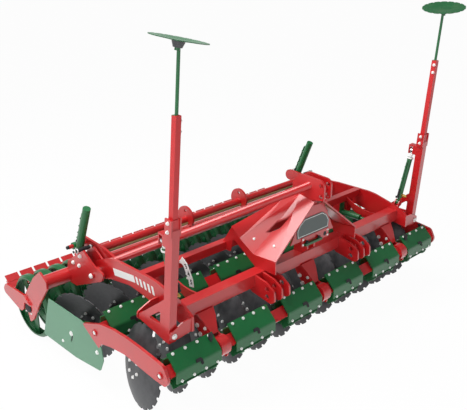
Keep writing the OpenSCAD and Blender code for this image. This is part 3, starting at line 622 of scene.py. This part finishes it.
def valveShapes(green, red, black, bolts):
    (x0, z0, x1, z1), (bx0, bz0, bx1, bz1) = valve["plate"], valve["body"]
    face, body, gap = valve["front"] - valve["thick"], valve["front"] - valve["deep"], valve["gap"]
    boxShape(red, (x0, face, z0), (x1, valve["front"] - gap, z1))
    boxShape(green, (bx0, body, bz0), (bx1, face - gap, bz1))
    for x in (bx0 + valve["knobInset"], bx1 - valve["knobInset"]):
        bar(black, facing(at(x, body + valve["knobBack"], bz1 + gap), (0, 0, 1)), *valve["knob"],
            count=16)
    inset = valve["boltInset"]
    for x in (x0 + inset, x1 - inset):
        for z in (z0 + inset, z1 - inset):
            bolt(bolts, at(x, face, z), (0, -1, 0), "M8")
    x, z = valve["spot"]
    bar(black, facing(at(x, face, z), (0, -1, 0)), *valve["disc"], count=24)


def uprightShape(shape, sign):
    (fx, fy, fz), (hx, hy, hz) = upright["foot"], upright["head"]
    foot, head = at(sign * fx, fy, fz), at(sign * hx, hy, hz)
    long = (head - foot).length / mm
    r, drop, bevel = upright["barrel"], upright["drop"], upright["bevel"]
    shape.take(*lathe([(0, 0), (upright["rod"], 0), (upright["rod"], drop), (r, drop), (r, long - bevel),
                       (r - bevel, long), (0, long)], count=20), facing(foot, head - foot))


def smallPieces():
    pipes, green, red, black, bolts = Shape(), Shape(), Shape(), Shape(), Shape()
    line = rounded([at(*p) for p in rearPipe["line"]], rearPipe["bend"] * mm)
    pipes.take(*tube(line, rearPipe["radius"] * mm))
    valveShapes(green, red, black, bolts)
    for sign in sides.values():
        x, y, z = armPin["place"]
        black.take(*lathe(armPin["form"], count=18), facing(at(sign * x, y, z), (0, 0, 1)))
        uprightShape(black, sign)
        place = facing(at(sign * rollerSide["trunnionX"], *rollerSide["trunnion"]), (sign, 0, 0))
        bar(black, place, pinEnd["radius"], pinEnd["long"], count=20, bevel=pinEnd["bevel"])
    pipes.piece("rear_pipes", mainFrame, pipeZinc)
    green.piece("head_valve", mainFrame, finishes["dark_green_paint"])
    red.piece("head_valve_plate", mainFrame, finishes["red_paint"])
    black.piece("black_fittings", mainFrame, finishes["black_rubber"])
    bolts.piece("head_valve_bolts", mainFrame, zinc)


smallPieces()
print("frame fittings made")

# Roller cylinders: pipe and lumps along the barrel, ports and fittings round its mouth

rollCyl = {"x": 1210, "mouth": (1275, 765), "way": (-0.375, 0.927),
           "pipe": [(-20, 58.5), (60, 40.5), (300, 40.5), (318, 24.5)], "bend": 20, "pipeRadius": 7,
           "lumps": [(70, 24.5), (118, 24.5), (180, 24.5), (250, 24.5)], "lump": (11, 22),
           "collarAt": (-14, 0), "collar": (31, 14), "nutLong": 32, "nutAside": -24,
           "nuts": [(-34, 34.5, 13), (-34, -34.5, 13), (30, 50.5, 12), (4, 58.5, 10)],
           "hoses": [(-4, 54.5, 12, 64), (44, 36.5, 9, 30), (-30, 48.5, 8, 44)], "bevel": 2}


def rollerCylinders():
    green, black, bright = Shape(), Shape(), Shape()
    for sign in sides.values():
        base, axis = at(sign * rollCyl["x"], *rollCyl["mouth"]), Vector((0, *rollCyl["way"]))
        back = Vector((0, axis.z, -axis.y))  # square to the barrel, towards the rear
        across = Vector((sign, 0, 0))

        def spot(along, out, aside=0.0):
            return base + (axis * along + back * out + across * aside) * mm

        line = rounded([spot(*p) for p in rollCyl["pipe"]], rollCyl["bend"] * mm)
        green.take(*tube(line, rollCyl["pipeRadius"] * mm))
        for p in rollCyl["lumps"]:
            bar(green, facing(spot(*p), back), *rollCyl["lump"], count=6)
        bar(bright, facing(spot(*rollCyl["collarAt"]), axis), *rollCyl["collar"], count=28, bevel=rollCyl["bevel"])
        for along, out, size in rollCyl["nuts"]:
            place = facing(spot(along, out, rollCyl["nutAside"]), across)
            bar(bright, place, size, rollCyl["nutLong"], count=6, bevel=rollCyl["bevel"])
        for along, out, size, long in rollCyl["hoses"]:
            place = facing(spot(along, out, -long / 2), across)
            bar(black, place, size, long, count=16, bevel=rollCyl["bevel"])
    green.piece("roller_cylinder_pipes", "roller_barrels", finishes["dark_green_paint"])
    black.piece("roller_cylinder_hoses", "roller_barrels", finishes["black_rubber"])
    bright.piece("roller_cylinder_fittings", "roller_barrels", zinc)


# Arm dampers: a black cylinder across the tops of the arm plates with nuts on it, and bolts on the outer plates

damper = {"foot": (1162, 1186, 795),
          "form": [(0, 0), (9, 0), (9, 18), (14, 20), (14, 132), (9, 134), (9, 156), (0, 156)],
          "nuts": [(1174, 17), (1284, 18), (1304, 14)], "nutLong": 9,
          "bolts": [(1290, 664), (1212, 664), (1190, 745)], "outside": 1400}


def armDampers():
    black, bright = Shape(), Shape()
    for sign in sides.values():
        x0, y, z = damper["foot"]
        black.take(*lathe(damper["form"], count=20), facing(at(sign * x0, y, z), (sign, 0, 0)))
        for x, wide in damper["nuts"]:
            bar(bright, facing(at(sign * x, y, z), (sign, 0, 0)), wide, damper["nutLong"], count=6)
        for by, bz in damper["bolts"]:
            spot, normal = touch("roller_frame", at(sign * damper["outside"], by, bz), Vector((-sign, 0, 0)))
            bolt(bright, spot, normal, "M16", nut=True)
    black.piece("arm_dampers", "roller_arms", finishes["black_rubber"])
    bright.piece("arm_damper_fittings", "roller_arms", zinc)


rollerCylinders()
armDampers()

# Marker cylinders: pipe along the barrel, brass and black fittings at its base, zinc ones at its mouth

markCyl = {"foot": (-105, 153), "eyeZ": 599, "y": 78, "pipe": [(62, 18), (62, 33), (350, 33), (364, 18)], "bend": 12,
           "pipeRadius": 6, "lumps": [(110, 19), (210, 19), (310, 19)], "lump": (9, 18), "portAt": (66, 0, 19),
           "port": [(0, 0), (13, 0), (13, 26), (9, 28), (9, 40), (0, 40)], "elbowAt": (48, 19), "elbow": (10, 34),
           "hoseAt": (52, 43, 6), "hose": (8, 60), "ringAt": (383, 0), "ring": (28, 12), "bevel": 2,
           "rodNuts": [(52, 15, 9), (40, 17, 14)]}


def markerCylinder(side, sign):
    place = markerFrame(sign, False)
    turn = place.to_3x3()
    foot = Vector((markCyl["foot"][0], 0, markCyl["foot"][1]))
    end = Vector((-markCyl["eyeZ"] * math.sin(math.radians(marker["tuck"])), 0, markCyl["eyeZ"]))
    way = (end - foot).normalized()
    out = Vector((-way.z, 0, way.x))  # square to the cylinder, towards the machine's middle
    ahead = turn @ Vector((0, -1, 0))

    def spot(along, inward, front=0.0):
        return place @ ((foot + way * along + out * inward + Vector((0, markCyl["y"] - front, 0))) * mm)

    green, gold, black, bright, rod = Shape(), Shape(), Shape(), Shape(), Shape()
    line = rounded([spot(*p) for p in markCyl["pipe"]], markCyl["bend"] * mm)
    green.take(*tube(line, markCyl["pipeRadius"] * mm))
    for p in markCyl["lumps"]:
        bar(green, facing(spot(*p), turn @ out), *markCyl["lump"], count=6)
    gold.take(*lathe(markCyl["port"], count=6), facing(spot(*markCyl["portAt"]), ahead))
    bar(black, facing(spot(*markCyl["elbowAt"]), turn @ out), *markCyl["elbow"], count=14)
    bar(black, facing(spot(*markCyl["hoseAt"]), turn @ way), *markCyl["hose"], count=14)
    bar(bright, facing(spot(*markCyl["ringAt"]), turn @ way), *markCyl["ring"], count=24, bevel=markCyl["bevel"])
    for short, size, long in markCyl["rodNuts"]:
        bar(rod, facing(spot((end - foot).length - short, 0), turn @ way), size, long, count=6)
    green.piece(f"marker_pipe_{side}", f"marker_barrel_{side}", finishes["dark_green_paint"])
    gold.piece(f"marker_port_{side}", f"marker_barrel_{side}", brass)
    black.piece(f"marker_hose_{side}", f"marker_barrel_{side}", finishes["black_rubber"])
    bright.piece(f"marker_ring_{side}", f"marker_barrel_{side}", zinc)
    rod.piece(f"marker_rod_nuts_{side}", f"marker_rod_{side}", zinc)


for side, sign in sides.items():
    markerCylinder(side, sign)
print("cylinder fittings made")

# Sign border, white band and scale numbers

signPlate = {"front": 96, "outline": [(-100, 1017), (-150, 985), (-180, 940), (-172, 880), (172, 880), (180, 940),
                                  (150, 985), (100, 1017)], "line": 5, "inset": 6, "thick": 0.8}


def insetLine(points, reach):  # an outline moved inwards, for one that turns anticlockwise
    made = []
    n = len(points)
    for i in range(n):
        a, b, c = Vector(points[i - 1]), Vector(points[i]), Vector(points[(i + 1) % n])
        u, v = (b - a).normalized(), (c - b).normalized()
        nu, nv = Vector((-u.y, u.x)), Vector((-v.y, v.x))
        middleWay = (nu + nv) / (1 + nu.dot(nv))
        made.append(tuple(b + middleWay * reach))
    return made


def signBorder():
    outer = insetLine(signPlate["outline"], signPlate["inset"])
    inner = insetLine(signPlate["outline"], signPlate["inset"] + signPlate["line"])
    n = len(outer)
    place = Matrix(((mm, 0, 0, 0), (0, 0, -mm, signPlate["front"] * mm + gangAxis.y), (0, mm, 0, 0), (0, 0, 0, 1)))
    shape = Shape()
    for i in range(n):
        j = (i + 1) % n
        shape.take(*prism([outer[i], outer[j], inner[j], inner[i]], signPlate["thick"]), place)
    shape.piece("sign_border", mainFrame, finishes["white_film"])


band = {"face": 1205, "thick": 0.8, "rear": 871, "solid": 236, "slant": 17, "bars": 5, "barWide": 22,
        "barGap": 18, "barStep": 42, "cell": 30, "low": [(871, 691), (620, 722), (380, 701)],
        "high": [(871, 744), (620, 771), (380, 760)]}


def along(line, y):  # height of a line of (y, z) points at y
    for (y0, z0), (y1, z1) in zip(line, line[1:]):
        if y1 <= y <= y0:
            return z0 + (z1 - z0) * (y0 - y) / (y0 - y1)
    return line[-1][1] if y < line[-1][0] else line[0][1]


def bandStrip(shape, start, wide):  # one slanted strip on the left arch plate's outer face
    steps = max(1, round(wide / band["cell"]))
    x = -(band["face"] + band["thick"]) * mm
    lower, upper = [], []
    for i in range(steps + 1):
        y = start - wide * i / steps
        lower.append((y - band["slant"], along(band["low"], y - band["slant"])))
        upper.append((y, along(band["high"], y)))
    ring = lower + upper[::-1]
    place = Matrix(((0, 0, mm, x), (mm, 0, 0, gangAxis.y), (0, mm, 0, 0), (0, 0, 0, 1)))
    shape.take(*prism(ring[::-1], band["thick"]), place)


def archBand():
    shape = Shape()
    bandStrip(shape, band["rear"], band["solid"])
    for i in range(band["bars"]):
        bandStrip(shape, band["rear"] - band["solid"] - band["barGap"] - i * band["barStep"], band["barWide"])
    shape.piece("arch_band", mainFrame, finishes["white_film"])


scaleMarks = {"face": -894.5, "thick": 0.6, "height": 34, "em": 1.4, "bold": 1.0,
              "spots": [(412, 690, 82), (437, 742, 62), (463, 790, 55)], "words": ["5", "4", "3"]}


def scaleNumbers():
    for (y, z, angle), word in zip(scaleMarks["spots"], scaleMarks["words"]):
        curve = bpy.data.curves.new("number" + word, "FONT")
        curve.body = word
        curve.size = scaleMarks["height"] * mm * scaleMarks["em"]
        curve.extrude = scaleMarks["thick"] * mm / 2
        curve.offset = scaleMarks["bold"] * mm
        curve.align_x, curve.align_y = "CENTER", "CENTER"
        text = linked("text" + word, curve)
        look = Matrix(((0, 0, -1, 0), (-1, 0, 0, 0), (0, 1, 0, 0), (0, 0, 0, 1)))
        text.matrix_world = (Matrix.Translation(at(scaleMarks["face"] - scaleMarks["thick"] / 2, y, z)) @ look
                             @ Matrix.Rotation(math.radians(90 - angle), 4, "Z"))
        bpy.context.view_layer.update()
        mesh = bpy.data.meshes.new_from_object(text.evaluated_get(bpy.context.evaluated_depsgraph_get()))
        mesh.transform(text.matrix_world)
        bpy.data.objects.remove(text)
        mesh.materials.clear()
        mesh.materials.append(finishes["black_rubber"])
        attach(linked("scale_number_" + word, mesh), mainFrame)


signBorder()
archBand()
scaleNumbers()
print("plates and marks made")

# Stage


def makeStage():
    scene = bpy.context.scene
    scene.view_settings.view_transform = "Standard"
    camera = bpy.data.cameras.new("camera")
    camera.sensor_fit = "HORIZONTAL"
    camera.sensor_width, camera.lens = stand["sensor"], stand["lens"]
    camera.clip_end = stand["reach"]
    holder = linked("camera", camera)
    holder.location = stand["place"]
    holder.rotation_euler = [math.radians(a) for a in stand["turn"]]
    scene.camera = holder

    for name in ("key", "fill"):
        lamp = bpy.data.lights.new(name, "AREA")
        lamp.shape, lamp.size, lamp.energy = "DISK", light[name + "Size"], light[name]
        made = linked(name, lamp)
        made.location = light[name + "Place"]
        made.rotation_euler = (Vector(light["aim"]) - made.location).to_track_quat("-Z", "Y").to_euler()

    world = bpy.data.worlds.new("studio")
    scene.world = world
    world.use_nodes = True
    sky = Finish("studio", world)
    height = sky.split(sky.where("Generated"), "Z")
    level = sky.ramp(height, 0.0, light["fade"]) * (light["zenith"] - light["horizon"]) + light["horizon"]
    tone = sky.blend((0.0, 0.0, 0.0), (1.0, 1.0, 1.0), level)
    sky.add("ShaderNodeOutputWorld", {}, [sky.add("ShaderNodeBackground", {}, {"Color": tone})])

    h = ground["half"]
    mesh = bpy.data.meshes.new("floor")
    mesh.from_pydata([(-h, -h, 0), (h, -h, 0), (h, h, 0), (-h, h, 0)], [], [[0, 1, 2, 3]])
    floor = linked("floor", mesh)
    f = Finish("floor")
    seen = [f.add("ShaderNodeLightPath", out=kind) for kind in rays]
    shown = seen[0].mix("MAXIMUM", seen[1]).mix("MAXIMUM", seen[2])
    matt = f.add("ShaderNodeBsdfDiffuse", {}, {"Color": (*ground["tone"], 1)})
    glow = f.add("ShaderNodeEmission", {}, {"Color": (1, 1, 1, 1), "Strength": 1.0})
    both = f.add("ShaderNodeMixShader", {}, [shown * ground["glow"], matt, glow])
    f.add("ShaderNodeOutputMaterial", {}, [both])
    mesh.materials.append(f.material)


makeStage()
print("stage made")
